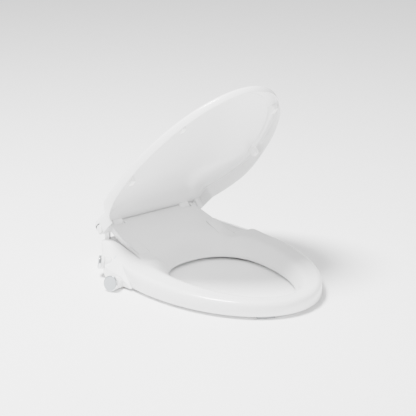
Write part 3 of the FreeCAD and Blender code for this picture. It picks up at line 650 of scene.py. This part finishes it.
# the bumpers, upright blocks on the closed lid that keep the reach their solids have
BUMPER_LENGTH = 16 * MM
for label in ("front_right", "front_left", "side_right", "side_left"):
    node = "lid_bumper_" + label
    low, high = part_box(node)
    reach = (high.y - low.y - BUMPER_LENGTH * math.cos(OPEN)) / math.sin(OPEN)
    middle = lid_place.inverted() @ ((low + high) / 2)
    bumper = bmesh.new()
    half = Vector((high.x - low.x, BUMPER_LENGTH, reach)) / 2
    rounded_block(bumper, middle - half, middle + half, 1.2 * MM, segments=4)
    bmesh.ops.transform(bumper, matrix=lid_place, verts=bumper.verts)
    finish("lid_pad_" + label, bumper, "lid", white_silicone, [node])

# ---- knobs ------------------------------------------------------------------------------

JOINTS = {j["name"]: j for j in frame["joints"]}


def knob_place(name):
    """The middle of a knob's ring, and the knob's axis pointing outwards."""
    joint = JOINTS[name + "_knob_turn"]
    axis = Vector(joint["axis"]).normalized()
    low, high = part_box(name + "_knob_ring")
    return (low + high) / 2, axis


# each knob's frame, with its origin at the middle of its face and +Z outwards, and its radius
FACE_OUT = 3.3 * MM
KNOBS = {}
for name, radius in (("front", 16.2 * MM), ("rear", 14.5 * MM)):
    middle, axis = knob_place(name)
    origin = middle + axis * FACE_OUT
    place = Matrix.Translation(origin) @ axis.to_track_quat("Z", "Y").to_matrix().to_4x4()
    KNOBS[name] = (place, radius)
    body = name + "_knob"
    for label, material, slot, node, profile in (
            ("grip", gloss_abs, "white_gloss_plastic", "_knob",
             [(0, -13), (radius / MM - 3, -13), (radius / MM - 2, -12.6), (radius / MM - 1.3, -11.6),
              (radius / MM - 1, -10.4), (radius / MM - 1, -6), (0, -6)]),
            ("bezel", chrome, "chrome_trim", "_knob_ring",
             [(radius / MM - 1.8, -5.9), (radius / MM - 0.4, -5.9), (radius / MM, -5.5),
              (radius / MM, -1.6), (radius / MM - 0.2, -1), (radius / MM - 0.7, -0.6),
              (radius / MM - 1.5, -0.6), (radius / MM - 1.8, -0.9), (radius / MM - 1.8, -5.9)]),
            ("face", grey_abs, "grey_satin_plastic", "_knob_cap",
             [(0, -5.9), (radius / MM - 1.85, -5.9), (radius / MM - 1.85, -0.6),
              (radius / MM - 2.1, -0.2), (radius / MM - 2.6, 0), (0, 0)])):
        shape = bmesh.new()
        turning(shape, [(r * MM, z * MM) for r, z in profile], place)
        finish(f"{name}_{label}", shape, body, material, [body if node == "_knob" else name + node],
               40)

# ---- base housings ------------------------------------------------------------------------

# housings in millimetres: the plan's corners, and the side and front profiles that cut it
WING = HALF + 9 * MM
RING_GAP = 1.2 * MM
BLOCK_HIGH = 54 * MM
CORNER_SOFT, JOINT_SOFT = 3.5 * MM, 0.9 * MM
tray_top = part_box("base_tray")[1].z
front_y = (SHOULDER.y - (SHOULDER.z - tray_top) / SLANT
           + RING_GAP * math.hypot(1, SLANT) / SLANT)
PLAN = [(119.6, 38), (127, 38), (WING / MM - 58, 20), (WING / MM - 43, -6), (WING / MM - 14, -46),
        (WING / MM - 3, -70), (WING / MM, -120), (WING / MM - 5, front_y / MM + 1.3),
        (128.6, front_y / MM + 1.3), (128.6, -106), (119.6, -20)]
SIDE = [(38, 6), (38, 38), (30, 46), (20, 49), (4, 51), (-50, 47),
        (SHOULDER.y / MM + 3.4, 42), (front_y / MM + 1.3, 6)]
FRONT = [(110, 60), (120, 56), (WING / MM - 30, 46), (WING / MM - 9, 38), (WING / MM + 2, 26),
         (WING / MM + 2, 6)]


COLLAR_FOOT = 1 * MM


def planed(bm, start, end, across, keep):
    """Cuts away what lies beyond a flat face through two points, and closes the cut."""
    normal = (end - start).cross(across).normalized()
    if normal.dot(keep - start) > 0:
        normal = -normal
    cut = bmesh.ops.bisect_plane(bm, geom=bm.verts[:] + bm.edges[:] + bm.faces[:], dist=1e-7,
                                 plane_co=start, plane_no=normal, clear_outer=True)
    rim_edges = [g for g in cut["geom_cut"] if isinstance(g, bmesh.types.BMEdge)]
    if rim_edges:
        bmesh.ops.edgeloop_fill(bm, edges=rim_edges)


def housing(name, side, nodes, collars):
    """A side housing cut from a block by its side and front profiles, with soft edges."""
    bm = bmesh.new()
    verts = [bm.verts.new((side * x * MM, y * MM, tray_top)) for x, y in PLAN]
    face = bm.faces.new(verts)
    grown = bmesh.ops.extrude_face_region(bm, geom=[face])["geom"]
    bmesh.ops.translate(bm, vec=(0, 0, BLOCK_HIGH),
                        verts=[g for g in grown if isinstance(g, bmesh.types.BMVert)])
    inside = Vector((side * 160 * MM, -60 * MM, 15 * MM))
    for (y0, z0), (y1, z1) in zip(SIDE[1:], SIDE[2:]):
        planed(bm, Vector((0, y0, z0)) * MM, Vector((0, y1, z1)) * MM, Vector((1, 0, 0)), inside)
    for (x0, z0), (x1, z1) in zip(FRONT, FRONT[1:]):
        planed(bm, Vector((side * x0, 0, z0)) * MM, Vector((side * x1, 0, z1)) * MM,
               Vector((0, 1, 0)), inside)
    bmesh.ops.remove_doubles(bm, verts=bm.verts, dist=1e-5)
    bmesh.ops.dissolve_limit(bm, angle_limit=math.radians(1), verts=bm.verts, edges=bm.edges)
    soft = [e for e in bm.edges if e.is_manifold and e.calc_face_angle(0) > math.radians(4)
            and min(v.co.z for v in e.verts) > tray_top + 1 * MM]
    joint_face = [e for e in soft if max(v.co.y for v in e.verts) < SHOULDER.y + 4 * MM
                  and abs(min(v.co.x * side for v in e.verts)) > 127 * MM
                  and all(abs(v.co.y - front_y - (v.co.z - tray_top) / SLANT) < 3 * MM
                          for v in e.verts)]
    bmesh.ops.bevel(bm, geom=joint_face, offset=JOINT_SOFT, segments=2, affect="EDGES", profile=0.5,
                    material=-1, clamp_overlap=True)
    soft = [e for e in soft if e.is_valid and e not in joint_face]
    bmesh.ops.bevel(bm, geom=soft, offset=CORNER_SOFT, segments=4, affect="EDGES", profile=0.5,
                    material=-1, clamp_overlap=True)
    turning.done[id(bm)] = set(bm.verts)
    for collar, reach, radius in collars:
        place, _ = KNOBS[collar]
        rise = radius / MM
        turning(bm, [(r * MM, z * MM) for r, z in (
            (0, -13.6), (rise - 2, -13.6), (rise - 0.8, -14.2), (rise, -15.4),
            (rise, -13.5 - reach), (rise - 3, -15.5 - reach), (0, -15.5 - reach))], place)
        planed(bm, Vector((0, 0, COLLAR_FOOT)), Vector((0, 50 * MM, COLLAR_FOOT)),
               Vector((1, 0, 0)), inside)
    return finish(name, bm, "base", gloss_abs, nodes, 30)


housing("pod_housing", -1, ["control_pod"], (("front", 17, 14 * MM), ("rear", 12, 12.5 * MM)))
housing("far_housing", 1, ["side_wing"], ())

# ---- floor, light and camera --------------------------------------------------------------

# matt backdrop paper: plain white without a highlight
paper = moulded("pale_floor", "FFFFFF", 0.9, 3.0, 0.01)
FLOOR_HALF = 14
floor_bm = bmesh.new()
bmesh.ops.create_grid(floor_bm, x_segments=1, y_segments=1, size=FLOOR_HALF)
floor_mesh = bpy.data.meshes.new("floor")
floor_bm.to_mesh(floor_mesh)
floor_bm.free()
floor_mesh.materials.append(paper)
floor = bpy.data.objects.new("floor", floor_mesh)
floor.location.z = cad_low.z
bpy.context.scene.collection.objects.link(floor)
floor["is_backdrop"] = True

world = bpy.data.worlds.new("studio")
world.use_nodes = True
world.node_tree.nodes["Background"].inputs["Color"].default_value = (1, 1, 1, 1)
world.node_tree.nodes["Background"].inputs["Strength"].default_value = 0.9
bpy.context.scene.world = world


AIM = Vector((0, -0.2, 0.1))


def lamp(name, where, power, size):
    """A round soft lamp that faces the middle of the object."""
    data = bpy.data.lights.new(name, "AREA")
    data.energy, data.shape, data.size = power, "DISK", size
    made = bpy.data.objects.new(name, data)
    made.location = where
    made.rotation_euler = (AIM - made.location).to_track_quat("-Z", "Y").to_euler()
    bpy.context.scene.collection.objects.link(made)
    made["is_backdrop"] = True


lamp("key_softbox", (-0.9, 0.1, 2.5), 300, 0.9)
lamp("front_fill", (0.2, -2.6, 1.2), 30, 1.4)

FOCAL_LENGTH, SENSOR_WIDTH = 126.26, 36
VIEW_FROM = (-1.7940, -2.4045, 1.1239)
VIEW_TURN = (71.116, 0, -38.766)
lens = bpy.data.cameras.new("camera")
lens.lens, lens.sensor_width = FOCAL_LENGTH, SENSOR_WIDTH
lens.clip_end = 60
camera = bpy.data.objects.new("camera", lens)
camera.location = VIEW_FROM
camera.rotation_euler = [math.radians(a) for a in VIEW_TURN]
bpy.context.scene.collection.objects.link(camera)
bpy.context.scene.camera = camera

bpy.context.view_layer.update()
low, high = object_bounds()
